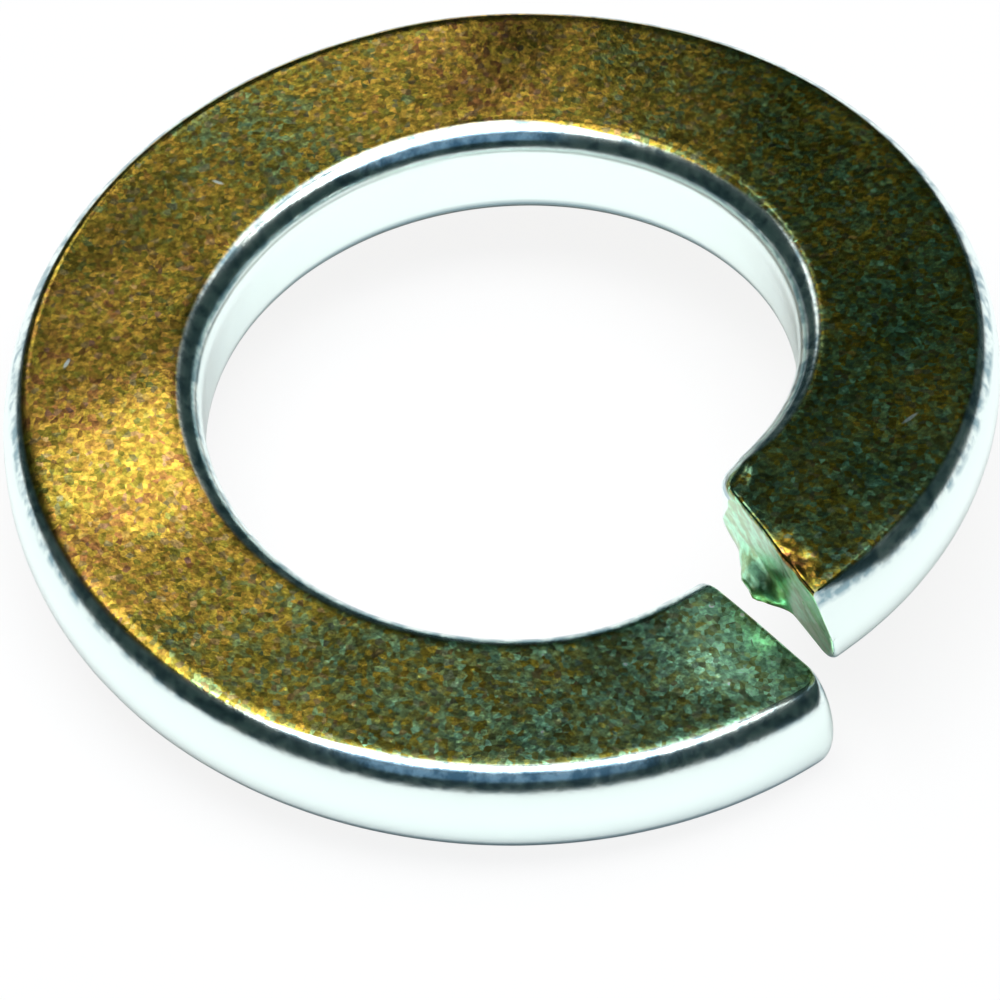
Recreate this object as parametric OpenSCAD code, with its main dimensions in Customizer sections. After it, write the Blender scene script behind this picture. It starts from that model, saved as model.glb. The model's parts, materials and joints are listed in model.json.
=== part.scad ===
// Spring lock washer: one turn of flat spring wire coiled on edge, cut through
// and left standing open. The coil climbs clockwise seen from above, so both
// cut ends bite when a nut with a right-hand thread starts to back off.
// The bore's axis is Z, the cut lies on +X and the lowest edge is at Z = 0.

/* [Bore] */
// Diameter of the bore, a free fit over a 12 mm screw
bore_d = 12.2; // [8:0.1:30]

/* [Wire] */
// Width of the flat wire, from the bore to the rim
wire_w = 4.15; // [2.5:0.05:8]
// Thickness of the wire half way across its width
wire_t = 2.4; // [1.8:0.1:3.5]
// How much thicker the wire is at the bore than at the rim after coiling
wire_swell = 0.1; // [0:0.05:0.4]
// How far each rounded edge reaches across the flat, less where the wire is narrow
edge_reach = 0.6; // [0.2:0.05:1]
// How far the rolled side at the rim rounds down from the flat, less on thin wire
rim_drop = 1.1; // [0.3:0.05:1.5]
// How far the rolled side at the bore rounds down from the flat, less on thin wire
bore_drop = 0.75; // [0.3:0.05:1.5]

/* [Coil] */
// Rise of the coil over one full turn
coil_pitch = 2.9; // [1.8:0.1:6]

/* [Cut] */
// Gap between the two cut faces at the rim, seen from above
cut_gap = 0.05; // [0.05:0.05:2]
// Lean of the low end's cut face from upright, which sharpens its lower edge
low_lean = 3; // [0:1:20]
// Lean of the raised end's cut face from upright, which sharpens its upper edge
high_lean = 11; // [0:1:20]
// Turn of the raised end's cut, which opens the gap towards the bore
cut_skew = 12; // [0:1:15]

/* [Sheared edges] */
// Radius of the low end's corners at the rim, drawn in by the shears
low_rim_draw = 0.6; // [0.1:0.05:0.7]
// Radius of the raised end's upper corner at the rim
high_rim_draw = 0.6; // [0.1:0.05:0.7]
// Radius of the raised end's upper corner at the bore
high_bore_draw = 0.45; // [0.1:0.05:0.7]
// Radius along the upper edge of both cut faces
top_draw = 0.1; // [0.05:0.05:0.3]

/* [Hidden] */

bore_r = bore_d / 2;
rim_r = bore_r + wire_w;
mid_r = bore_r + wire_w / 2;

// Shares of the wire's width and thickness that one rounded edge may take
width_share = 0.3;
thickness_share = 0.46;
reach = min(edge_reach, width_share * wire_w);

// Angle, round the edge's ellipse, at which it meets the bore or the rim
meet_a = 20;
// Depth by which the swept wire passes the bore and the rim before trimming
overcut = 0.03;

// Steps round the coil, along a rounded edge and along a sheared edge
coil_n = 90;
edge_n = 6;
draw_n = 5;
// Facets of the trimming cylinders
round_n = 180;

full_turn = 360;

// Half of the wire's thickness at radius r
function half_t(r) = (wire_t + wire_swell * (mid_r - r) / wire_w) / 2;

// Turn, clockwise from +X, at which the low end's cut passes through a point
// of the section. The point is [radius, height from the wire's middle], and
// turn is a first estimate that gives the coil's height there.
function low_cut(p, turn) =
    let (above_mid = p[1] + coil_pitch * (turn / full_turn - 1 / 2))
    asin((cut_gap / 2 + above_mid * tan(low_lean)) / p[0]);

// The same for the raised end, whose cut is turned by cut_skew about the rim
function high_cut(p, turn) =
    let (above_mid = p[1] + coil_pitch * (turn / full_turn - 1 / 2))
    let (ahead = cut_gap / 2 - above_mid * tan(high_lean))
    let (across = ahead * cos(cut_skew) + rim_r * sin(cut_skew))
    full_turn + cut_skew - asin(across / p[0]);

function low_turn(p) = low_cut(p, low_cut(p, 0));
function high_turn(p) = high_cut(p, high_cut(p, full_turn));

// The low end's lower edge next to the bore is the lowest point of the coil
seat_r = bore_r + reach;
seat = [seat_r, -half_t(seat_r)];
base_z = -seat[1] - coil_pitch * low_turn(seat) / full_turn;

// Place of a point of the section after a turn along the coil
function coiled(p, turn) = [
    p[0] * cos(turn),
    -p[0] * sin(turn),
    base_z + p[1] + coil_pitch * turn / full_turn
];

// One rounded edge of the section, from the flat to past the bore or the rim.
// Rolling rounds the wire's sides, so the edge is part of an upright ellipse.
// side is 1 at the rim and -1 at the bore, up is 1 above and -1 below, and
// the shears have drawn this corner in from the side and down from the top.
function rounded_edge(side, up, drawn, sunk) =
    let (drop = min(side > 0 ? rim_drop : bore_drop, thickness_share * wire_t))
    let (wall_r = (side > 0 ? rim_r : bore_r) - side * drawn)
    let (c_r = wall_r - side * reach * cos(meet_a))
    let (c_z = up * (half_t(c_r) - drop) - (up > 0 ? sunk : 0))
    let (arc = [for (i = [0:edge_n])
        let (a = 90 - (90 - meet_a) * i / edge_n)
        [c_r + side * reach * cos(a), c_z + up * drop * sin(a)]
    ])
    let (slope = arc[edge_n] - arc[edge_n - 1])
    let (past = arc[edge_n] + slope * overcut / abs(slope[0]))
    concat([for (i = [0:edge_n - 1]) arc[i]], [past]);

function reversed(list) = [for (i = [len(list) - 1:-1:0]) list[i]];

// Outline of the wire, clockwise from the outer end of its top face. The four
// corners are drawn in by the lengths in drawn, and the top sinks by sunk.
function section(drawn = [0, 0, 0, 0], sunk = 0) = concat(
    rounded_edge(1, 1, drawn[0], sunk),
    reversed(rounded_edge(1, -1, drawn[1], sunk)),
    rounded_edge(-1, -1, drawn[2], sunk),
    reversed(rounded_edge(-1, 1, drawn[3], sunk))
);

// Radii of the sheared corners of each end, in the order of the outline
low_draws = [low_rim_draw, low_rim_draw, 0, 0];
high_draws = [high_rim_draw, 0, 0, high_bore_draw];
longest_draw = max(concat(low_draws, high_draws, [top_draw]));

// How far an edge sheared to radius r is drawn in, at a depth from its face
function drawn_in(r, depth) =
    depth < r ? r - sqrt(r * r - pow(r - depth, 2)) : 0;

function sheared_section(draws, depth) = section(
    [for (r = draws) drawn_in(r, depth)],
    drawn_in(top_draw, depth)
);

// Depths behind a cut face at which its sheared edges are followed
draw_depths = [for (i = [0:draw_n]) longest_draw * (1 - cos(90 * i / draw_n))];

// Turn of the coil that an arc of the given length takes at a point
function arc_turn(length, p) = length / p[0] * 180 / PI;

// Outlines from the low cut face, up along the coil, to the raised cut face
outlines = concat(
    [for (depth = draw_depths)
        [for (p = sheared_section(low_draws, depth))
            coiled(p, low_turn(p) + arc_turn(depth, p))]
    ],
    [for (i = [1:coil_n - 1])
        [for (p = section())
            let (from = low_turn(p) + arc_turn(longest_draw, p))
            let (to = high_turn(p) - arc_turn(longest_draw, p))
            coiled(p, from + (to - from) * i / coil_n)]
    ],
    [for (depth = reversed(draw_depths))
        [for (p = sheared_section(high_draws, depth))
            coiled(p, high_turn(p) - arc_turn(depth, p))]
    ]
);

// The wire swept along the coil, a little wider than the finished washer
module coiled_wire() {
    n = len(outlines[0]);
    last = len(outlines) - 1;
    sides = [for (k = [0:last - 1], j = [0:n - 1])
        let (next = (j + 1) % n)
        [k * n + j, k * n + next, (k + 1) * n + next, (k + 1) * n + j]
    ];
    low_face = [[for (j = [n - 1:-1:0]) j]];
    high_face = [[for (j = [0:n - 1]) last * n + j]];
    polyhedron(
        points = [for (outline = outlines, p = outline) p],
        faces = concat(sides, low_face, high_face),
        convexity = 4
    );
}

// A round bar on the bore's axis, longer than the coil is high
module trimming_bar(r) {
    cylinder(h = 3 * (coil_pitch + wire_t), r = r, center = true, $fn = round_n);
}

module lock_washer() {
    color("#8f8a52")
    intersection() {
        difference() {
            coiled_wire();
            trimming_bar(bore_r);
        }
        trimming_bar(rim_r);
    }
}

lock_washer();
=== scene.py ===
"""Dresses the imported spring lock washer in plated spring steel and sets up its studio.

The wire is swept again along the coil of the CAD part, finely enough for its sheared
ends, its torn lip and the slight waves of coiled wire to be real shape.
"""

import json
import math

import bpy
import numpy as np
from bpy.props import FloatProperty, FloatVectorProperty, PointerProperty
from mathutils import Matrix, Vector, noise


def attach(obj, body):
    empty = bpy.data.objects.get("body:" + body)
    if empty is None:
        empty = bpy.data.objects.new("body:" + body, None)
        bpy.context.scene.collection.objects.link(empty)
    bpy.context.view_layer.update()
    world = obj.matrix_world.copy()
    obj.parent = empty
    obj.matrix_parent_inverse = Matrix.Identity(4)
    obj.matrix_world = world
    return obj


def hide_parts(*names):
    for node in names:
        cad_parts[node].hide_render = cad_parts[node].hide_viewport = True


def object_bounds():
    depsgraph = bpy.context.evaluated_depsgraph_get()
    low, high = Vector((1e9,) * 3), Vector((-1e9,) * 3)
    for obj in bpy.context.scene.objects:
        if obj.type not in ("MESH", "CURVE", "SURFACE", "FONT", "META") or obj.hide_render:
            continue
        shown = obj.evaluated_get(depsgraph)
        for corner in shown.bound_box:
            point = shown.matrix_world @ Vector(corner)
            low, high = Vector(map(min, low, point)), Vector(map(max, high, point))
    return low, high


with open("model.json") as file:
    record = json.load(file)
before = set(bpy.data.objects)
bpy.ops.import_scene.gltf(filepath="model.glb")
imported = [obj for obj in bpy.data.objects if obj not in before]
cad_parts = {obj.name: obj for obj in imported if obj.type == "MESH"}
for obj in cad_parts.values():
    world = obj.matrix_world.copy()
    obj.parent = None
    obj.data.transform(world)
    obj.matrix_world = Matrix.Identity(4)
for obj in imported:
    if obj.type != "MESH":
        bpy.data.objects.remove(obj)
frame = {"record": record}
CAD_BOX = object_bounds()

bl_info = {
    "name": "Spring Lock Washer",
    "version": (1, 0, 0),
    "blender": (4, 5, 0),
    "location": "View3D > Sidebar > Lock Washer",
    "description": "Builds a zinc plated spring lock washer around its CAD part",
    "category": "Object",
}

MM = 0.001
NODE = "lock_washer"

BORE = next(m for m in frame["record"]["mounts"] if m["name"] == "bore")
BORE_R = BORE["dims"]["r_mm"] * MM
RIM_R = (CAD_BOX[1].x - CAD_BOX[0].x) / 2
FREE_HEIGHT = CAD_BOX[1].z - CAD_BOX[0].z
WIRE_T = 2.4 * MM

# The least value of a size that can't be 0
LEAST = 0.1 * MM


def length_property(name, description, default, least=0.0):
    """A length that a user can change."""
    return FloatProperty(
        name=name, description=description, default=default, min=least, unit="LENGTH", precision=6
    )


def angle_property(name, description, degrees, most):
    """An angle in degrees that a user can change, from 0 to the most given."""
    return FloatProperty(
        name=name,
        description=description,
        default=math.radians(degrees),
        min=0.0,
        max=math.radians(most),
        unit="ROTATION",
    )


class LockWasherSizes(bpy.types.PropertyGroup):
    """Sizes of the washer, with the bore, the rim and the height from the CAD part."""

    bore_r: length_property("Bore radius", "Radius of the bore", BORE_R, LEAST)
    rim_r: length_property("Rim radius", "Radius of the outside", RIM_R, LEAST)
    wire_t: length_property(
        "Wire thickness", "Thickness of the flat wire half way across its width", WIRE_T, LEAST
    )
    wire_swell: length_property(
        "Wire swell", "How much thicker the wire is at the bore than at the rim", 0.1 * MM
    )
    rim_reach: length_property(
        "Rim reach", "How far the rolled side at the rim reaches across the flats", 0.62 * MM, LEAST
    )
    bore_reach: length_property(
        "Bore reach",
        "How far the rolled side at the bore reaches across the flats",
        0.56 * MM,
        LEAST,
    )
    rim_drop: length_property(
        "Rim drop", "How far the rolled side at the rim rounds down from the flat", 1.17 * MM, LEAST
    )
    bore_drop: length_property(
        "Bore drop",
        "How far the rolled side at the bore rounds down from the flat",
        0.65 * MM,
        LEAST,
    )
    pitch: length_property(
        "Coil pitch", "Rise of the coil over one full turn", FREE_HEIGHT - WIRE_T, LEAST
    )
    cut_gap: length_property(
        "Cut gap", "Gap between the cut faces at the rim, seen from above", 0.05 * MM
    )
    low_lean: angle_property("Low lean", "Lean of the low end's cut face from upright", 3, 20)
    high_lean: angle_property("High lean", "Lean of the raised end's cut face from upright", 11, 20)
    cut_skew: angle_property("Cut skew", "Turn of the raised end's cut about the rim", 12, 15)
    lip_out: length_property(
        "Lip reach", "How far the torn lip stands out of the raised end's cut face", 0.44 * MM
    )
    lip_down: length_property(
        "Lip drop", "How far the torn lip hangs below the raised end", 0.02 * MM
    )
    wave: length_property(
        "Wave", "Depth of the slight waves that coiling leaves in the wire", 0.012 * MM
    )
    end_swell: length_property(
        "End swell", "How far the shears have pushed the bore side inwards at both ends", 0.15 * MM
    )


def linear(hex_colour):
    """An sRGB hex colour as linear RGB."""
    parts = [int(hex_colour[i : i + 2], 16) / 255 for i in (1, 3, 5)]
    return [p / 12.92 if p <= 0.04045 else ((p + 0.055) / 1.055) ** 2.4 for p in parts]


def colour_property(name, description, hex_colour):
    """A colour that a user can change."""
    return FloatVectorProperty(
        name=name,
        description=description,
        subtype="COLOR",
        size=3,
        min=0.0,
        max=1.0,
        default=linear(hex_colour),
    )


class LockWasherFinish(bpy.types.PropertyGroup):
    """Colours of the plating and of the studio."""

    gold: colour_property("Gold", "Chromate film where it is thick", "#C9A242")
    brown: colour_property("Brown", "Pinkish brown grains, where the film is thickest", "#A0703F")
    olive: colour_property("Olive", "Olive grains of the film", "#958A34")
    violet: colour_property("Violet", "A few greyish violet grains", "#7F7080")
    green: colour_property("Green", "Green grains, where the film is thin", "#8AA572")
    mint: colour_property("Mint", "Bluish green film at the low end and on the faces", "#A0DAB4")
    zinc: colour_property("Zinc", "Pale zinc on the walls and the edges", "#F3FFFA")
    # Greyish blue in patches near the flats, and painted shade along the lower rounded edges
    edge_blue_and_painted_shade: colour_property("Stain", "Greyish blue stain on the rounded edges", "#6F97A4")
    floor: colour_property("Floor", "White floor", "#F8F8F8")
    room: colour_property("Room", "The dim room round the washer", "#293A39")
    sky: colour_property("Sky", "Daylight from a window behind the camera", "#8DB9E6")


# Points of the wire's section along a rounded edge, a flat and a wall
ARC_STEPS = 10
FLAT_STEPS = 26
WALL_STEPS = 10
# Stations along the coil between its two sheared ends
COIL_STEPS = 600
# Depths behind a cut face, in mm, at which the sheared ends are followed
END_DEPTHS = (0, 0.008, 0.022, 0.042, 0.07, 0.105, 0.15, 0.2, 0.26, 0.33, 0.41, 0.5, 0.6)
# Shares of the way from the cut face's outline to its middle line
FACE_RINGS = (0.03, 0.07, 0.12, 0.18, 0.25, 0.33, 0.42, 0.52, 0.64, 0.78)

# Radii of each end's sheared corners in mm: rim top, rim bottom, bore bottom, bore top
LOW_DRAWS = (0.52, 0.52, 0.0, 0.1)
HIGH_DRAWS = (0.16, 0.12, 0.02, 0.42)
# Radius in mm along the upper edge of both cut faces
TOP_DRAW = 0.1

# Rounds in which the turn of a cut is worked out from the coil's height there
CUT_ROUNDS = 3


def drawn_in(radius, depth):
    """How far an edge sheared to a radius is drawn in, at a depth from the cut face."""
    if depth >= radius:
        return 0.0
    return radius - math.sqrt(radius**2 - (radius - depth) ** 2)


class Coil:
    """The coil of the CAD part, in mm."""

    def __init__(self, sizes):
        self.bore_r = sizes.bore_r / MM
        self.rim_r = sizes.rim_r / MM
        self.wire_t = sizes.wire_t / MM
        self.swell = sizes.wire_swell / MM
        self.rim_reach = sizes.rim_reach / MM
        self.bore_reach = sizes.bore_reach / MM
        self.rim_drop = sizes.rim_drop / MM
        self.bore_drop = sizes.bore_drop / MM
        self.pitch = sizes.pitch / MM
        self.gap = sizes.cut_gap / MM
        self.low_lean = math.tan(sizes.low_lean)
        self.high_lean = math.tan(sizes.high_lean)
        self.skew = sizes.cut_skew
        self.width = self.rim_r - self.bore_r
        self.mid_r = (self.bore_r + self.rim_r) / 2
        seat_r = self.bore_r + self.bore_reach
        low, _ = self.cut_turns(np.array([[seat_r, -self.half_t(seat_r)]]))
        self.base_z = self.half_t(seat_r) - self.pitch * low[0] / (2 * math.pi)

    def half_t(self, r):
        """Half of the wire's thickness at radius r."""
        return (self.wire_t + self.swell * (self.mid_r - r) / self.width) / 2

    def cut_turns(self, section):
        """Turns, clockwise from +X, at which each cut passes through points of the section."""
        r, z = section[:, 0], section[:, 1]
        low, high = np.zeros(len(r)), np.full(len(r), 2 * math.pi)
        for _ in range(CUT_ROUNDS):
            height = z + self.pitch * (low / (2 * math.pi) - 0.5)
            low = np.arcsin((self.gap / 2 + height * self.low_lean) / r)
            height = z + self.pitch * (high / (2 * math.pi) - 0.5)
            ahead = self.gap / 2 - height * self.high_lean
            across = ahead * math.cos(self.skew) + self.rim_r * math.sin(self.skew)
            high = 2 * math.pi + self.skew - np.arcsin(across / r)
        return low, high

    def placed(self, section, turn):
        """Points of the section after a turn along the coil."""
        r, z = section[:, 0], section[:, 1]
        height = self.base_z + z + self.pitch * turn / (2 * math.pi)
        return np.stack([r * np.cos(turn), -r * np.sin(turn), height], axis=-1)

    def rolled(self, side):
        """How far the rolled side rounds down from the flat and reaches across it."""
        if side > 0:
            return self.rim_drop, self.rim_reach
        return self.bore_drop, self.bore_reach

    def corner(self, side, up, drawn, sunk):
        """One rounded edge of the section, from its flat to its wall: a quarter ellipse."""
        wall = self.rim_r - drawn if side > 0 else self.bore_r + drawn
        drop, reach = self.rolled(side)
        centre_r = wall - side * reach
        centre_z = up * (self.half_t(centre_r) - drop) - (sunk if up > 0 else 0)
        angle = np.linspace(math.pi / 2, 0, ARC_STEPS + 1)
        return np.stack(
            [
                centre_r + side * reach * np.cos(angle),
                centre_z + up * drop * np.sin(angle),
            ],
            axis=-1,
        )

    def section(self, draws=(0, 0, 0, 0), sunk=0.0):
        """The wire's outline, clockwise from the outer end of its top flat."""
        rim_top = self.corner(1, 1, draws[0], sunk)
        rim_low = self.corner(1, -1, draws[1], sunk)[::-1]
        bore_low = self.corner(-1, -1, draws[2], sunk)
        bore_top = self.corner(-1, 1, draws[3], sunk)[::-1]
        return np.concatenate(
            [
                rim_top,
                between(rim_top[-1], rim_low[0], WALL_STEPS),
                rim_low,
                between(rim_low[-1], bore_low[0], FLAT_STEPS),
                bore_low,
                between(bore_low[-1], bore_top[0], WALL_STEPS),
                bore_top,
                between(bore_top[-1], rim_top[0], FLAT_STEPS),
            ]
        )

    def from_flat(self):
        """Tilt in quarter turns of the outline from its flat, and below 0 the depth into it.

        On a flat the number is minus the distance in mm to the flat's nearer end.
        """
        flat = -tent(self.width - self.rim_reach - self.bore_reach, FLAT_STEPS)
        sides = []
        for side in (1, -1):
            drop, reach = self.rolled(side)
            angle = np.linspace(math.pi / 2, 0, ARC_STEPS + 1)
            tilt = np.arctan2(drop * np.cos(angle), reach * np.sin(angle)) * 2 / math.pi
            sides.append(np.concatenate([tilt, np.ones(WALL_STEPS - 1), tilt[::-1]]))
        return np.concatenate([sides[0], flat, sides[1], flat])


def between(a, b, steps):
    """The points strictly between two, in equal steps."""
    share = np.linspace(0, 1, steps + 1)[1:-1, None]
    return a + (b - a) * share


def tent(length, steps):
    """Distance to the nearer end of a length, at the points strictly inside it."""
    place = np.linspace(0, length, steps + 1)[1:-1]
    return np.minimum(place, length - place)


def sweep_stations(coil):
    """Each station's points, and how far along the coil and behind a cut each lies."""
    rings, along, behind = [], [], []
    plain = coil.section()
    deepest = END_DEPTHS[-1]

    def add(section, turn, depth):
        rings.append(coil.placed(section, turn))
        along.append(turn / (2 * math.pi))
        behind.append(np.full(len(section), depth))

    for depth in END_DEPTHS:
        section = coil.section([drawn_in(d, depth) for d in LOW_DRAWS], drawn_in(TOP_DRAW, depth))
        low, _ = coil.cut_turns(section)
        add(section, low + depth / section[:, 0], depth)
    low, high = coil.cut_turns(plain)
    start = low + deepest / plain[:, 0]
    stop = high - deepest / plain[:, 0]
    for i in range(1, COIL_STEPS):
        share = i / COIL_STEPS
        depth = deepest + min(share, 1 - share) * 2 * math.pi * coil.mid_r
        add(plain, start + (stop - start) * share, depth)
    for depth in reversed(END_DEPTHS):
        section = coil.section([drawn_in(d, depth) for d in HIGH_DRAWS], drawn_in(TOP_DRAW, depth))
        _, high = coil.cut_turns(section)
        add(section, high - depth / section[:, 0], depth)
    return rings, along, behind


def face_rings(coil, low_end):
    """Rings on a cut face, from just inside its outline to near its middle line."""
    draws = LOW_DRAWS if low_end else HIGH_DRAWS
    outline = coil.section([drawn_in(d, 0) for d in draws], drawn_in(TOP_DRAW, 0))
    reach = (outline[:, 0].max() - outline[:, 0].min() - coil.wire_t) / 2
    middle_r = (outline[:, 0].max() + outline[:, 0].min()) / 2
    middle_z = (outline[:, 1].max() + outline[:, 1].min()) / 2
    spine_r = np.clip(outline[:, 0], middle_r - reach, middle_r + reach)
    spine = np.stack([spine_r, np.full(len(outline), middle_z)], axis=-1)
    rings, insets = [], []
    for share in FACE_RINGS:
        section = outline + (spine - outline) * share
        low, high = coil.cut_turns(section)
        rings.append(coil.placed(section, low if low_end else high))
        insets.append(-np.linalg.norm(section - outline, axis=1))
    return rings, insets


def washer_arrays(coil):
    """Vertices, faces and the washer's own coordinates that its finish is laid out by."""
    rings, along, behind = sweep_stations(coil)
    low_rings, low_insets = face_rings(coil, True)
    high_rings, high_insets = face_rings(coil, False)
    n = len(rings[0])
    all_rings = low_rings[::-1] + rings + high_rings
    all_along = [along[0]] * len(low_rings) + along + [along[-1]] * len(high_rings)
    all_behind = low_insets[::-1] + behind + high_insets
    faces = []
    for k in range(len(all_rings) - 1):
        a, b = k * n, (k + 1) * n
        faces += [(b + j, b + (j + 1) % n, a + (j + 1) % n, a + j) for j in range(n)]
    last = (len(all_rings) - 1) * n
    faces.append(tuple(range(n)))
    faces.append(tuple(range(last + n - 1, last - 1, -1)))
    return {
        "points": np.concatenate(all_rings),
        "faces": faces,
        "ring": n,
        "along": np.concatenate(all_along),
        "behind": np.concatenate(all_behind),
        "from_flat": np.tile(coil.from_flat(), len(all_rings)),
        "height": np.tile(coil.section()[:, 1] / (coil.wire_t / 2), len(all_rings)),
    }


def bell(x, centre, half_width):
    """A smooth bump, 1 at its centre and 0 beyond its half width."""
    t = np.clip(np.abs(x - centre) / half_width, 0, 1)
    return (1 - t * t) ** 2


def noise_at(points, size, seed):
    """Smooth noise from about -1 to 1 at points in mm, with waves of about the given size."""
    return np.array([noise.noise(Vector(p) / size + Vector(seed)) for p in points.tolist()])


# Share of the coil past which a point belongs to the raised end
RAISED_END = 0.9

# Low swells that coiling has left in the flats, which catch the light: share of the coil,
# radius, half width and height in mm
SWELLS = (
    (0.362, 6.7, 3.8, 0.15),
    (0.6, 9.0, 2.4, 0.05),
    (0.012, 7.1, 2.3, 0.09),
)


def swollen_flats(coil, made):
    """Raises the low swells on the upper side of the wire."""
    p = made["points"]
    radius = np.hypot(p[:, 0], p[:, 1])
    middle = coil.base_z + coil.pitch * made["along"]
    upper = np.clip((p[:, 2] - middle) / coil.half_t(radius), 0, 1)
    for along, at_radius, half_width, height in SWELLS:
        ahead = (made["along"] - along) * 2 * math.pi * at_radius
        distance = np.hypot(ahead, radius - at_radius)
        p[:, 2] += upper * height * bell(distance, 0, half_width)


# The raised end's bruised edge in mm: how far behind the cut and at which radius its middle
# is, half of its width each way, its depth, and the size and depth of its small dents
BRUISE_BEHIND = 0.15
BRUISE_HALF_LENGTH = 0.5
BRUISE_RADIUS = 8.95
BRUISE_HALF_WIDTH = 1.0
BRUISE_DEPTH = 0.06
DENT_SIZE = 0.25
DENT_DEPTH = 0.09
DENT_SEED = (5, 5, 3)
# Height, as a share of the way from the wire's middle to its flat, from which a point is on top
TOP_HEIGHT = 0.8


def bruised_edge(made):
    """Small dents along the rim half of the raised end's upper edge, where gold glints show."""
    p = made["points"]
    radius = np.hypot(p[:, 0], p[:, 1])
    on_top = (made["height"] > TOP_HEIGHT) & (made["along"] > RAISED_END)
    near_edge = bell(np.maximum(made["behind"], 0), BRUISE_BEHIND, BRUISE_HALF_LENGTH)
    made["bruised"] = on_top * near_edge * bell(radius, BRUISE_RADIUS, BRUISE_HALF_WIDTH)
    dents = BRUISE_DEPTH + DENT_DEPTH * noise_at(p, DENT_SIZE, DENT_SEED)
    p[:, 2] -= made["bruised"] * dents


# The raised end in mm: how far its rim leans in at the top, how long that facet is and the
# power by which it fades, and the reach and depth of its sunk bore corner
FACET_LEAN = 0.46
FACET_LENGTH = 1.7
FACET_FADE = 0.7
CORNER_REACH = 1.0
CORNER_DEPTH = 0.2


def sheared_corners(coil, made):
    """Leans the raised end's rim in at the top and sinks its bore corner, as the shears did."""
    p = made["points"]
    radius = np.hypot(p[:, 0], p[:, 1])
    behind = np.maximum(made["behind"], 0)
    high = made["along"] > RAISED_END
    upper = np.clip(made["height"], 0, 1)
    facet = coil.rim_r - FACET_LEAN * upper
    on_rim = high & (upper > 0) & (made["from_flat"] > 0) & (radius > coil.mid_r)
    share = np.clip(1 - behind / FACET_LENGTH, 0, 1) ** FACET_FADE
    inwards = ((facet - radius) * share * on_rim).reshape(-1, made["ring"])
    # The rings on the cut face follow its outline, less and less towards the middle
    inwards[-len(FACE_RINGS) :] = inwards[-len(FACE_RINGS) - 1] * (
        1 - np.array(FACE_RINGS)[:, None]
    )
    across = np.array([math.cos(coil.skew), -math.sin(coil.skew)])
    p[:, :2] += inwards.reshape(-1, 1) * across
    away = np.hypot(radius - coil.bore_r, behind) / CORNER_REACH
    p[:, 2] -= CORNER_DEPTH * bell(away, 0, 1) * upper * high


# Waves of the wire's sides: size in mm, share of the wave's depth and place in the noise
SIDE_WAVES = ((3.5, 0.5, (11, 5, 2)), (0.7, 0.3, (1, 9, 4)))
# Grain of the torn faces: size in mm, share of the grain's depth and place in the noise
FACE_GRAINS = ((0.16, 0.5, (8, 8, 1)), (0.45, 1.0, (2, 6, 9)))
# Depth of that grain, and the least distance inside the face's outline at which it is, in mm
FACE_GRAIN_DEPTH = 0.008
FACE_GRAIN_INSET = 0.02


def coiled_waves(coil, made, sizes):
    """The slight waves of coiled wire, and the coarser grain of its torn faces."""
    p = made["points"]
    radius = np.hypot(p[:, 0], p[:, 1])
    out = np.stack([p[:, 0] / radius, p[:, 1] / radius, np.zeros(len(p))], axis=-1)
    inwards = sum(share * (1 + noise_at(p, size, seed)) for size, share, seed in SIDE_WAVES)
    wall = np.clip(made["from_flat"], 0, 1)
    on_side = made["behind"] >= 0
    push = -sizes.wave / MM * inwards * wall * on_side
    made["points"] = p + out * (np.sign(radius - coil.mid_r) * push)[:, None]
    torn = sum(share * noise_at(p, size, seed) for size, share, seed in FACE_GRAINS)
    on_face = made["behind"] < -FACE_GRAIN_INSET
    made["points"][:, 1] += np.where(on_face, FACE_GRAIN_DEPTH * torn, 0)


# Length in mm behind each cut face over which its bore side is pushed inwards
END_SWELL_LENGTH = 5.0


def pushed_ends(coil, made, sizes):
    """Moves the bore side of both ends inwards, as the shears have pushed it."""
    p = made["points"]
    radius = np.hypot(p[:, 0], p[:, 1])
    near_end = bell(np.maximum(made["behind"], 0), 0, END_SWELL_LENGTH)
    bore_side = np.clip((coil.mid_r - radius) / (coil.width / 2), 0, 1) ** 2
    inwards = sizes.end_swell / MM * near_end * bore_side
    p[:, :2] *= ((radius - inwards) / radius)[:, None]


# The torn lip in mm: how far its middle is from the bore, half of its width, how far it
# reaches behind the cut face, the height of its front and of the slope above that
LIP_CENTRE = 1.28
LIP_HALF_WIDTH = 1.1
LIP_BEHIND = 0.35
LIP_FRONT = 0.1
LIP_SLOPE = 0.7
# How ragged the lip is, as a share of its size, and how large its tears are in mm
LIP_RAGGED = 0.25
LIP_TEAR = 0.3
LIP_SEED = (3, 1, 7)


def torn_lip(coil, made, sizes):
    """Moves the points near the raised end's lower edge out and down into a torn lip."""
    p = made["points"]
    radius = np.hypot(p[:, 0], p[:, 1])
    under = coil.base_z + coil.pitch * made["along"] - coil.half_t(radius)
    along_edge = bell(radius - coil.bore_r, LIP_CENTRE, LIP_HALF_WIDTH)
    behind = bell(np.maximum(made["behind"], 0), 0, LIP_BEHIND)
    up_face = bell(np.maximum(p[:, 2] - under - LIP_FRONT, 0), 0, LIP_SLOPE)
    share = along_edge * behind * up_face * (made["along"] > RAISED_END)
    ragged = 1 + LIP_RAGGED * noise_at(p, LIP_TEAR, LIP_SEED)
    p[:, 1] -= share * ragged * sizes.lip_out / MM
    p[:, 2] -= share * ragged * sizes.lip_down / MM


# How far the film reaches round the rolled edges, in quarter turns, at shares of the coil
RIM_FILM = ((0.0, 0.1), (0.16, 0.1), (0.21, 0.36), (0.62, 0.36), (0.7, 0.28), (1.0, 0.28))
BORE_FILM = (
    (0.0, 0.2),
    (0.2, 0.1),
    (0.62, 0.06),
    (0.67, 0.3),
    (0.74, 0.3),
    (0.8, 0.15),
    (0.95, 0.15),
    (1.0, 0.5),
)


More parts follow.
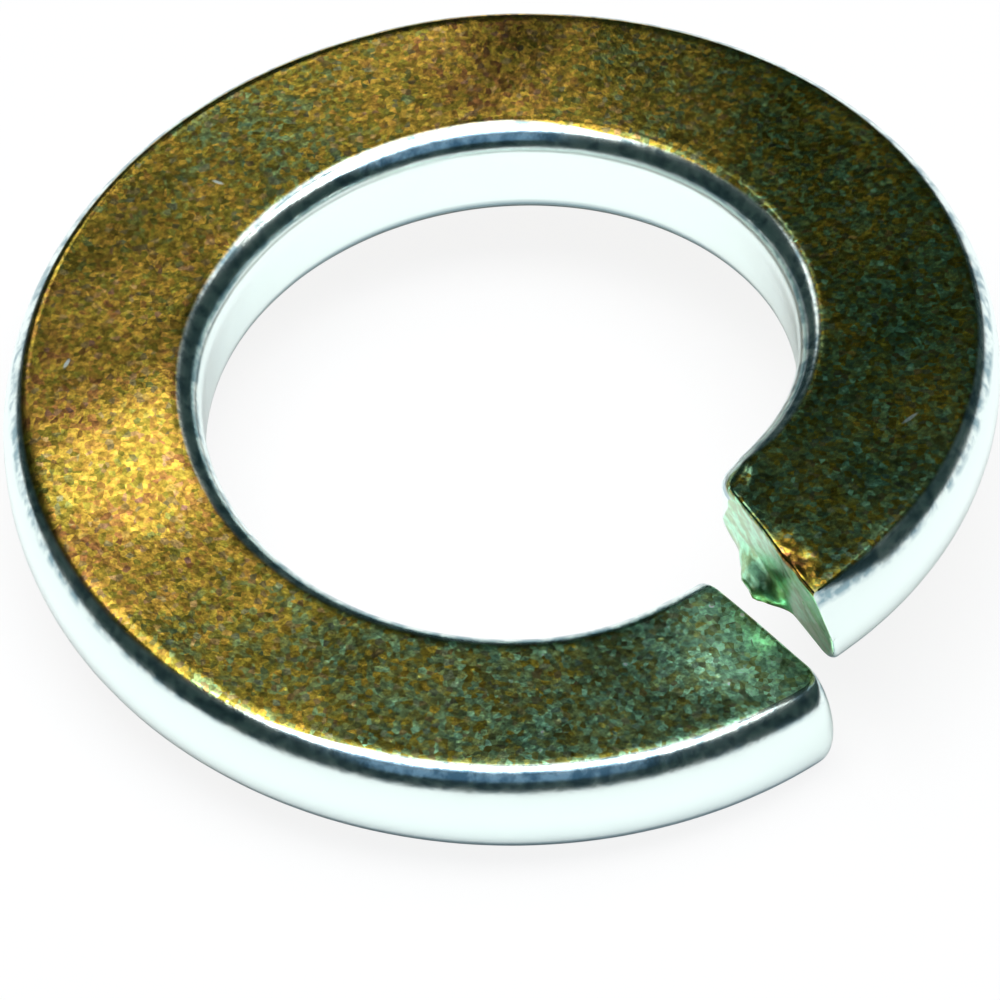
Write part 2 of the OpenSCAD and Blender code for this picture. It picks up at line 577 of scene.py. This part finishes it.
def past_film(coil, made):
    """How far each point lies past the film's end on its side, in quarter turns."""
    radius = np.hypot(made["points"][:, 0], made["points"][:, 1])
    rim, bore = (
        np.interp(made["along"], *np.transpose(levels)) for levels in (RIM_FILM, BORE_FILM)
    )
    return made["from_flat"] - np.where(radius > coil.mid_r, rim, bore)


# Numbers that each point of the mesh carries for its finish: its share of the coil, its tilt
# from the flat, how far it is past the film's end, how many mm it is behind a cut, its height
# from the wire's middle as a share of half the thickness, and how bruised it is
ATTRIBUTES = ("along", "from_flat", "past_film", "behind", "height", "bruised")

# Degrees between two faces from which the edge between them is drawn sharp
SHARP_FROM = 38


class LockWasherBuildWasher(bpy.types.Operator):
    """Sweep the flat wire along its coil and shape both sheared ends"""

    bl_idname = "object.lock_washer_build"
    bl_label = "Build Washer"

    def execute(self, context):
        sizes = context.scene.lock_washer_sizes
        coil = Coil(sizes)
        made = washer_arrays(coil)
        swollen_flats(coil, made)
        bruised_edge(made)
        sheared_corners(coil, made)
        coiled_waves(coil, made, sizes)
        pushed_ends(coil, made, sizes)
        torn_lip(coil, made, sizes)
        made["past_film"] = past_film(coil, made)
        mesh = bpy.data.meshes.new("coiled_washer")
        mesh.from_pydata((made["points"] * MM).tolist(), [], made["faces"])
        mesh.validate()
        for name in ATTRIBUTES:
            attribute = mesh.attributes.new(name, "FLOAT", "POINT")
            attribute.data.foreach_set("value", np.asarray(made[name], np.float32))
        mesh.shade_smooth()
        mesh.set_sharp_from_angle(angle=math.radians(SHARP_FROM))
        washer = bpy.data.objects.new("coiled_washer", mesh)
        context.scene.collection.objects.link(washer)
        mesh.materials.append(plated_steel(context.scene.lock_washer_finish))
        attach(washer, "root")
        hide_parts(NODE)
        return {"FINISHED"}


def add_node(tree, kind, settings=None, inputs=None, stops=()):
    """Adds a node, sets its properties and its ramp's stops, and sets or links its inputs."""
    node = tree.nodes.new(kind)
    for name, value in (settings or {}).items():
        setattr(node, name, value)
    for key, value in (inputs or {}).items():
        if isinstance(value, bpy.types.NodeSocket):
            tree.links.new(value, node.inputs[key])
        else:
            node.inputs[key].default_value = value
    # A new ramp has two stops
    for _ in stops[2:]:
        node.color_ramp.elements.new(0.5)
    for i, (position, colour) in enumerate(stops):
        node.color_ramp.elements[i].position = position
        node.color_ramp.elements[i].color = colour
    return node


def rgba(colour):
    """A colour property's value as the four numbers that a socket takes."""
    return (*colour, 1.0)


# Sizes of the finish's grain, patches and clouds, drawn coarser than the real ones so that
# they show, and the distances between coloured grains and between painted glints
GRAIN = 0.13 * MM
PATCH = 0.4 * MM
CLOUD = 2.2 * MM
GRAIN_CELL = 0.13 * MM
PAINTED_GLINT_CELL = 0.3 * MM
NOISE_DETAIL = 3.0
NOISE_ROUGHNESS = 0.55
# The levels between which most of such a noise lies
NOISE_LOW = 0.3
NOISE_HIGH = 0.7

# Strength and depth of the bumps that the grain and the patches make
GRAIN_RELIEF = (0.7, 0.003 * MM)
PATCH_RELIEF = (0.5, 0.01 * MM)
# Roughness of the metal from its smooth clouds to its dull ones, and of the film at the low
# end, with the shares of the coil between which that sets in
CLOUD_ROUGHNESS = (0.16, 0.24)
LOW_END_ROUGHNESS = 0.35
LOW_END = (0.06, 0.015)

# Half of the width, in quarter turns, over which the film ends on a rolled edge
FILM_FADE = 0.06
# Distances in mm from a cut face's outline between which the torn face's colour sets in
FACE_FADE = (-0.01, -0.05)

# How thick the chromate film is along the coil, as pairs of a share of its turn and a level.
# The levels are partly the film's own colour and partly painted light: the rise near 0.61 is
# a painted highlight in brighter gold on the back of the flat, the dip near 0.51 painted
# shade in darker olive beside it
FILM_THICKNESS_AND_PAINTED_LIGHT = (
    (0.0, 0.02),
    (0.025, 0.12),
    (0.06, 0.21),
    (0.12, 0.3),
    (0.2, 0.43),
    (0.29, 0.68),
    (0.42, 0.64),
    (0.51, 0.46),
    (0.56, 0.54),
    (0.61, 0.73),
    (0.66, 0.54),
    (0.7, 0.43),
    (0.78, 0.36),
    (1.0, 0.26),
)
# How much that level changes, up or down, from cell to cell, patch to patch and cloud to
# cloud, and at a bruise
CELL_CHANGE = 0.19
PATCH_CHANGE = 0.1
CLOUD_CHANGE = 0.08
BRUISE_CHANGE = 0.6
# The film's colour at levels of its thickness
FILM_COLOURS = ((0.0, "mint"), (0.2, "green"), (0.45, "olive"), (0.7, "gold"), (0.9, "brown"))
# Random numbers of the cells between which they turn violet, and how violet they get
VIOLET_CELLS = (0.84, 0.94)
VIOLET_SHARE = 0.3

# Painted glints, bright spots painted into the film's colour: distances from a cell's middle
# between which a glint sets in, random numbers of the cells between which they get one, shares
# of the coil between which the glints reach their full strength at the front, and their
# strength elsewhere
PAINTED_GLINT_EDGE = (0.24, 0.1)
PAINTED_GLINT_CELLS = (0.6, 0.8)
PAINTED_GLINT_FRONT = (0.24, 0.14)
PAINTED_GLINTS_ELSEWHERE = 0.25

# Darkest and lightest shade of the film by its grain, its cells and its painted glints
GRAIN_SHADE = (0.45, 1.45)
CELL_SHADE = (0.6, 1.4)
PAINTED_GLINT_SHADE = (1.0, 3.0)

# Nicks in the upper flat: share of the coil, radius in mm, turn in degrees from the way out,
# length and width in mm
NICKS = (
    (0.917, 8.75, 62, 0.48, 0.1),
    (0.484, 7.95, 15, 0.3, 0.09),
    (0.376, 8.9, 70, 0.3, 0.1),
)
# Shares of a nick's size between which it gets bare, and how bare it gets
NICK_EDGE = (1.1, 0.6)
NICK_BARE = 0.8

# Greyish blue on the rolled sides, in patches near the flats and as painted shade all along
# below: tilts in quarter turns between which the patches end above, heights between which the
# painted shade sets in below, levels of the patches between which they show above, and how
# strong both get
BLUE_PATCH_TILT = (0.74, 0.66)
PAINTED_SHADE_HEIGHT = (-0.54, -0.68)
BLUE_PATCH_LEVELS = (0.42, 0.62)
BLUE_PATCH_AND_SHADE_SHARE = 0.8

# Green blotches on the cut faces: levels of the patches between which they show, how strong
# they get, and the shades of the face from the bore to the rim and by its grain
BLOTCH_PATCH = (0.42, 0.56)
BLOTCH_SHARE = 0.85
FACE_SHADE = (1.35, 0.55)
FACE_GRAIN_SHADE = (0.8, 1.2)


def plated_steel(finish):
    """Spring steel, zinc plated in a barrel and yellow chromated.

    The chromate film is thick on the flats, where its thickness changes from grain to grain
    and shows as olive and gold with green and brown grains. It is thin on the rounded sides,
    where pale zinc shows, and on the cut faces, which look green.
    """
    material = bpy.data.materials.new("zinc_plated_yellow_chromated_spring_steel")
    material.use_nodes = True
    tree = material.node_tree
    tree.nodes.clear()
    read = {
        name: add_node(tree, "ShaderNodeAttribute", {"attribute_name": name}).outputs["Fac"]
        for name in ATTRIBUTES
    }
    place = add_node(tree, "ShaderNodeTexCoord").outputs["Object"]
    grain, patch, cloud = (
        add_node(
            tree,
            "ShaderNodeTexNoise",
            {},
            {
                "Vector": place,
                "Scale": 1 / size,
                "Detail": NOISE_DETAIL,
                "Roughness": NOISE_ROUGHNESS,
            },
        ).outputs[0]
        for size in (GRAIN, PATCH, CLOUD)
    )
    film = nicked(tree, finish, place, thick_film(tree, finish, place, read, grain, patch, cloud))
    sides = rounded_sides(tree, finish, read, patch)
    faces = torn_faces(tree, finish, place, grain, patch)
    on_flat = add_node(
        tree, "ShaderNodeMapRange", {}, {0: read["past_film"], 1: FILM_FADE, 2: -FILM_FADE}
    ).outputs[0]
    body = add_node(tree, "ShaderNodeMix", {"data_type": "RGBA"}, {0: on_flat, 6: sides, 7: film})
    on_face = add_node(
        tree, "ShaderNodeMapRange", {}, {0: read["behind"], 1: FACE_FADE[0], 2: FACE_FADE[1]}
    ).outputs[0]
    colour = add_node(
        tree, "ShaderNodeMix", {"data_type": "RGBA"}, {0: on_face, 6: body.outputs[2], 7: faces}
    )
    shader = add_node(
        tree,
        "ShaderNodeBsdfPrincipled",
        {},
        {
            "Base Color": colour.outputs[2],
            "Metallic": 1.0,
            "Roughness": dulled(tree, read, cloud, on_flat),
            "Normal": grainy(tree, grain, patch),
        },
    )
    add_node(tree, "ShaderNodeOutputMaterial", {}, {"Surface": shader.outputs[0]})
    return material


def grainy(tree, grain, patch):
    """Fine bumps of the plating, coarser than the real ones so that the picture can show them."""
    normal = None
    for height, (strength, depth) in ((grain, GRAIN_RELIEF), (patch, PATCH_RELIEF)):
        inputs = {"Height": height, "Strength": strength, "Distance": depth}
        if normal:
            inputs["Normal"] = normal
        normal = add_node(tree, "ShaderNodeBump", {}, inputs).outputs[0]
    return normal


def dulled(tree, read, cloud, on_flat):
    """How rough the metal is, in clouds, with a duller film at the low end."""
    clouded = add_node(
        tree,
        "ShaderNodeMapRange",
        {},
        {0: cloud, 1: NOISE_LOW, 2: NOISE_HIGH, 3: CLOUD_ROUGHNESS[0], 4: CLOUD_ROUGHNESS[1]},
    )
    low_end = add_node(
        tree,
        "ShaderNodeMapRange",
        {},
        {0: read["along"], 1: LOW_END[0], 2: LOW_END[1], 4: LOW_END_ROUGHNESS},
    )
    dull_film = add_node(
        tree, "ShaderNodeMath", {"operation": "MULTIPLY"}, {0: low_end.outputs[0], 1: on_flat}
    )
    return add_node(
        tree,
        "ShaderNodeMath",
        {"operation": "MAXIMUM"},
        {0: clouded.outputs[0], 1: dull_film.outputs[0]},
    ).outputs[0]


def shaded(tree, colour, shades):
    """A colour made darker and lighter by numbers, each with its range and two factors."""
    for source, low, high, (dark, bright) in shades:
        shade = add_node(
            tree, "ShaderNodeMapRange", {}, {0: source, 1: low, 2: high, 3: dark, 4: bright}
        )
        colour = add_node(
            tree,
            "ShaderNodeVectorMath",
            {"operation": "SCALE"},
            {0: colour, "Scale": shade.outputs[0]},
        ).outputs[0]
    return colour


def thick_film(tree, finish, place, read, grain, patch, cloud):
    """The chromate film on the flats, whose colour follows its thickness; along the coil
    that level also paints a highlight and shade on the back of the flat.
    """
    grown = add_node(tree, "ShaderNodeTexVoronoi", {}, {"Vector": place, "Scale": 1 / GRAIN_CELL})
    cell = add_node(tree, "ShaderNodeSeparateColor", {}, {0: grown.outputs["Color"]}).outputs
    levels = [(share, (level, level, level, 1)) for share, level in FILM_THICKNESS_AND_PAINTED_LIGHT]
    # The level along the coil: partly the film's thickness, partly painted highlight and shade
    along = add_node(tree, "ShaderNodeValToRGB", {}, {0: read["along"]}, levels)
    along.color_ramp.interpolation = "EASE"
    thickness = along.outputs[0]
    for source, low, high, change in (
        (cell[0], 0.0, 1.0, CELL_CHANGE),
        (patch, NOISE_LOW, NOISE_HIGH, PATCH_CHANGE),
        (cloud, NOISE_LOW, NOISE_HIGH, CLOUD_CHANGE),
        (read["bruised"], -1.0, 1.0, BRUISE_CHANGE),
    ):
        extra = add_node(
            tree, "ShaderNodeMapRange", {}, {0: source, 1: low, 2: high, 3: -change, 4: change}
        )
        thickness = add_node(
            tree, "ShaderNodeMath", {"operation": "ADD"}, {0: thickness, 1: extra.outputs[0]}
        ).outputs[0]
    colours = [(level, rgba(getattr(finish, name))) for level, name in FILM_COLOURS]
    film = add_node(tree, "ShaderNodeValToRGB", {}, {0: thickness}, colours)
    violet = add_node(
        tree,
        "ShaderNodeMapRange",
        {},
        {0: cell[2], 1: VIOLET_CELLS[0], 2: VIOLET_CELLS[1], 4: VIOLET_SHARE},
    )
    film = add_node(
        tree,
        "ShaderNodeMix",
        {"data_type": "RGBA"},
        {0: violet.outputs[0], 6: film.outputs[0], 7: rgba(finish.violet)},
    )
    # The grain and the cells shade the film at random; the painted glints lighten it into bright
    # spots
    shades = (
        (grain, NOISE_LOW, NOISE_HIGH, GRAIN_SHADE),
        (cell[1], 0.0, 1.0, CELL_SHADE),
        (painted_glints(tree, place, read), 0.0, 1.0, PAINTED_GLINT_SHADE),
    )
    return shaded(tree, film.outputs[2], shades)


def painted_glints(tree, place, read):
    """How much of a painted glint, a bright spot painted into the film's colour, each place
    has. They are mostly at the front.
    """
    painted_glint_spots = add_node(tree, "ShaderNodeTexVoronoi", {}, {"Vector": place, "Scale": 1 / PAINTED_GLINT_CELL})
    cell = add_node(tree, "ShaderNodeSeparateColor", {}, {0: painted_glint_spots.outputs["Color"]}).outputs
    painted_glint = add_node(
        tree,
        "ShaderNodeMapRange",
        {},
        {0: painted_glint_spots.outputs["Distance"], 1: PAINTED_GLINT_EDGE[0], 2: PAINTED_GLINT_EDGE[1]},
    ).outputs[0]
    for source, (start, end), least in (
        (cell[0], PAINTED_GLINT_CELLS, 0.0),
        (read["along"], PAINTED_GLINT_FRONT, PAINTED_GLINTS_ELSEWHERE),
    ):
        share = add_node(
            tree, "ShaderNodeMapRange", {}, {0: source, 1: start, 2: end, 3: least, 4: 1.0}
        )
        painted_glint = add_node(
            tree, "ShaderNodeMath", {"operation": "MULTIPLY"}, {0: painted_glint, 1: share.outputs[0]}
        ).outputs[0]
    return painted_glint


def nicked(tree, finish, place, film):
    """Bares the zinc in a few small nicks of the upper flat."""
    for along, radius, turn, length, width in NICKS:
        angle = -2 * math.pi * along
        middle = (radius * MM * math.cos(angle), radius * MM * math.sin(angle), 0)
        nick = add_node(
            tree,
            "ShaderNodeMapping",
            {"vector_type": "TEXTURE"},
            {
                "Vector": place,
                "Location": middle,
                "Rotation": (0, 0, angle + math.radians(turn)),
                "Scale": (length / 2 * MM, width / 2 * MM, 1),
            },
        )
        away = add_node(
            tree, "ShaderNodeVectorMath", {"operation": "LENGTH"}, {0: nick.outputs[0]}
        )
        share = add_node(
            tree,
            "ShaderNodeMapRange",
            {},
            {0: away.outputs["Value"], 1: NICK_EDGE[0], 2: NICK_EDGE[1], 4: NICK_BARE},
        )
        film = add_node(
            tree,
            "ShaderNodeMix",
            {"data_type": "RGBA"},
            {0: share.outputs[0], 6: film, 7: rgba(finish.zinc)},
        ).outputs[2]
    return film


def rounded_sides(tree, finish, read, patch):
    """Pale zinc on the rolled sides, greyish blue in patches near the flats, with painted shade all
    along below.
    """
    near_flat = add_node(
        tree, "ShaderNodeMapRange", {}, {0: read["from_flat"], 1: BLUE_PATCH_TILT[0], 2: BLUE_PATCH_TILT[1]}
    )
    blue_patches = add_node(
        tree,
        "ShaderNodeMapRange",
        {},
        {0: patch, 1: BLUE_PATCH_LEVELS[0], 2: BLUE_PATCH_LEVELS[1], 4: BLUE_PATCH_AND_SHADE_SHARE},
    )
    above = add_node(
        tree,
        "ShaderNodeMath",
        {"operation": "MULTIPLY"},
        {0: near_flat.outputs[0], 1: blue_patches.outputs[0]},
    )
    # Painted shade all along the lower rounded edges
    below = add_node(
        tree,
        "ShaderNodeMapRange",
        {},
        {0: read["height"], 1: PAINTED_SHADE_HEIGHT[0], 2: PAINTED_SHADE_HEIGHT[1], 4: BLUE_PATCH_AND_SHADE_SHARE},
    )
    share = add_node(
        tree,
        "ShaderNodeMath",
        {"operation": "MAXIMUM"},
        {0: above.outputs[0], 1: below.outputs[0]},
    )
    return add_node(
        tree,
        "ShaderNodeMix",
        {"data_type": "RGBA"},
        {0: share.outputs[0], 6: rgba(finish.zinc), 7: rgba(finish.edge_blue_and_painted_shade)},
    ).outputs[2]


def torn_faces(tree, finish, place, grain, patch):
    """Mint and green blotches on the cut faces, darker towards the rim."""
    share = add_node(
        tree,
        "ShaderNodeMapRange",
        {},
        {0: patch, 1: BLOTCH_PATCH[0], 2: BLOTCH_PATCH[1], 4: BLOTCH_SHARE},
    )
    blotched = add_node(
        tree,
        "ShaderNodeMix",
        {"data_type": "RGBA"},
        {0: share.outputs[0], 6: rgba(finish.mint), 7: rgba(finish.green)},
    )
    across = add_node(tree, "ShaderNodeSeparateXYZ", {}, {0: place}).outputs[0]
    shades = (
        (across, BORE_R, RIM_R, FACE_SHADE),
        (grain, NOISE_LOW, NOISE_HIGH, FACE_GRAIN_SHADE),
    )
    return shaded(tree, blotched.outputs[2], shades)


# The camera, fitted to the outlines in the photograph: angles in degrees, distance from the
# middle of the washer, and that middle's place and the rim's radius there in a picture of
# 1000 by 1000 pixels
CAMERA_AZIMUTH = 50.0
CAMERA_ELEVATION = 47.76
CAMERA_ROLL = 2.36
CAMERA_DISTANCE = 176.6 * MM
PICTURE_SIZE = 1000
RIM_PIXELS = 498.9
PIXELS_PER_METRE = RIM_PIXELS / RIM_R
MIDDLE_PIXEL = (500.35, 405.7)
SENSOR = 36.0
# Nearest and farthest distances that the camera sees, in metres
NEAREST = 0.01
FARTHEST = 10.0


def add_camera(scene):
    """The camera at the photograph's angle, aimed so that the washer is framed alike."""
    azimuth, elevation = math.radians(CAMERA_AZIMUTH), math.radians(CAMERA_ELEVATION)
    roll = math.radians(CAMERA_ROLL)
    back = Vector(
        (
            math.sin(azimuth) * math.cos(elevation),
            -math.cos(azimuth) * math.cos(elevation),
            math.sin(elevation),
        )
    )
    level = Vector((math.cos(azimuth), math.sin(azimuth), 0))
    rise = back.cross(level)
    right = level * math.cos(roll) - rise * math.sin(roll)
    up = level * math.sin(roll) + rise * math.cos(roll)
    focal = PIXELS_PER_METRE * CAMERA_DISTANCE
    aside = (PICTURE_SIZE / 2 - MIDDLE_PIXEL[0]) / focal
    above = (PICTURE_SIZE / 2 - MIDDLE_PIXEL[1]) / focal
    aim_back = (back + up * above - right * aside).normalized()
    aim_right = up.cross(aim_back).normalized()
    aim_up = aim_back.cross(aim_right)
    data = bpy.data.cameras.new("photo_camera")
    data.sensor_width = SENSOR
    data.lens = focal / PICTURE_SIZE * SENSOR
    data.clip_start = NEAREST
    data.clip_end = FARTHEST
    camera = bpy.data.objects.new("photo_camera", data)
    scene.collection.objects.link(camera)
    middle = Vector((0, 0, FREE_HEIGHT / 2))
    turn = Matrix((aim_right, aim_up, aim_back)).transposed()
    camera.matrix_world = Matrix.Translation(middle + back * CAMERA_DISTANCE) @ turn.to_4x4()
    scene.camera = camera


# The lamps, which the metal mirrors: name, azimuth and elevation in degrees, distance and size
# in metres, radiance, and whether daylight colours it
LAMPS = (
    ("back_softbox", 35, 68.5, 0.3, (0.17, 0.12), 2.25, False),
    ("top_softbox", 0, 96, 0.4, (0.42, 0.2), 6.0, False),
    ("left_window", 28, 36, 0.5, (0.1, 0.12), 1.6, False),
    ("back_window", 10, 43, 0.5, (0.06, 0.045), 1.8, False),
    ("right_window", -26, 64, 0.4, (0.14, 0.12), 1.2, False),
    ("front_window", 182, 65, 0.45, (0.36, 0.08), 1.3, True),
    ("front_wall", 182, 41, 0.45, (0.4, 0.22), 0.42, True),
)


def add_lamp(scene, name, azimuth, elevation, distance, size, radiance, colour):
    """An area lamp that faces the washer. Azimuth 0 is behind it, as the camera looks."""
    a = math.radians(azimuth + CAMERA_AZIMUTH)
    e = math.radians(elevation)
    towards = Vector((-math.sin(a) * math.cos(e), math.cos(a) * math.cos(e), math.sin(e)))
    lamp = bpy.data.lights.new(name, "AREA")
    lamp.shape = "RECTANGLE"
    lamp.size, lamp.size_y = size
    lamp.energy = radiance * math.pi * size[0] * size[1]
    lamp.color = colour
    thing = bpy.data.objects.new(name, lamp)
    scene.collection.objects.link(thing)
    thing.location = towards * distance
    thing.rotation_euler = towards.to_track_quat("Z", "Y").to_euler()


# Half of the floor's width, in metres
FLOOR_HALF = 0.6
# Shares of the floor's white that don't depend on the lamps: to the camera, so that its shadow
# stays faint, and in the metal, where it is dark under the washer
FLOOR_GLOW = 0.88
MIRRORED_GLOW = 0.1


def floor_finish(finish):
    """Matt white paper, which shows white to the camera and in the metal and keeps the shadow."""
    material = bpy.data.materials.new("matt_white_paper")
    material.use_nodes = True
    tree = material.node_tree
    tree.nodes.clear()
    path = add_node(tree, "ShaderNodeLightPath").outputs
    share = 0.0
    for name, glow in (
        ("Is Camera Ray", FLOOR_GLOW),
        ("Is Glossy Ray", MIRRORED_GLOW),
        ("Is Transmission Ray", MIRRORED_GLOW),
    ):
        share = add_node(
            tree,
            "ShaderNodeMath",
            {"operation": "MULTIPLY_ADD"},
            {0: path[name], 1: glow, 2: share},
        ).outputs[0]
    paper = add_node(tree, "ShaderNodeBsdfDiffuse", {}, {"Color": rgba(finish.floor)})
    white = add_node(tree, "ShaderNodeEmission", {}, {"Color": (1, 1, 1, 1), "Strength": 1.0})
    both = add_node(
        tree, "ShaderNodeMixShader", {}, {0: share, 1: paper.outputs[0], 2: white.outputs[0]}
    )
    add_node(tree, "ShaderNodeOutputMaterial", {}, {"Surface": both.outputs[0]})
    return material


class LockWasherBuildStage(bpy.types.Operator):
    """Add the white floor, the lamps, the room and the camera"""

    bl_idname = "object.lock_washer_stage"
    bl_label = "Build Stage"

    def execute(self, context):
        scene = context.scene
        finish = scene.lock_washer_finish
        corners = [
            (FLOOR_HALF * x, FLOOR_HALF * y, 0) for x, y in ((-1, -1), (1, -1), (1, 1), (-1, 1))
        ]
        mesh = bpy.data.meshes.new("floor")
        mesh.from_pydata(corners, [], [(0, 1, 2, 3)])
        mesh.materials.append(floor_finish(finish))
        floor = bpy.data.objects.new("floor", mesh)
        scene.collection.objects.link(floor)
        for *place, daylight in LAMPS:
            add_lamp(scene, *place, finish.sky if daylight else (1, 1, 1))
        world = bpy.data.worlds.new("room")
        world.use_nodes = True
        background = world.node_tree.nodes["Background"]
        background.inputs["Color"].default_value = rgba(finish.room)
        background.inputs["Strength"].default_value = 1.0
        scene.world = world
        scene.view_settings.view_transform = "Standard"
        add_camera(scene)
        return {"FINISHED"}


class LockWasherPanel(bpy.types.Panel):
    """Lists the washer's operators, sizes and colours"""

    bl_idname = "VIEW3D_PT_lock_washer"
    bl_label = "Lock Washer"
    bl_space_type = "VIEW_3D"
    bl_region_type = "UI"
    bl_category = "Lock Washer"

    def draw(self, context):
        layout = self.layout
        for operator in OPERATORS:
            layout.operator(operator.bl_idname)
        for group in (context.scene.lock_washer_sizes, context.scene.lock_washer_finish):
            box = layout.box()
            for name in group.__annotations__:
                box.prop(group, name)


OPERATORS = (LockWasherBuildWasher, LockWasherBuildStage)
CLASSES = (LockWasherSizes, LockWasherFinish, *OPERATORS, LockWasherPanel)


def register():
    for item in CLASSES:
        bpy.utils.register_class(item)
    bpy.types.Scene.lock_washer_sizes = PointerProperty(type=LockWasherSizes)
    bpy.types.Scene.lock_washer_finish = PointerProperty(type=LockWasherFinish)


def unregister():
    del bpy.types.Scene.lock_washer_finish
    del bpy.types.Scene.lock_washer_sizes
    for item in reversed(CLASSES):
        bpy.utils.unregister_class(item)


def main():
    """Builds everything."""
    register()
    bpy.ops.object.lock_washer_build()
    bpy.ops.object.lock_washer_stage()


if __name__ == "__main__":
    main()
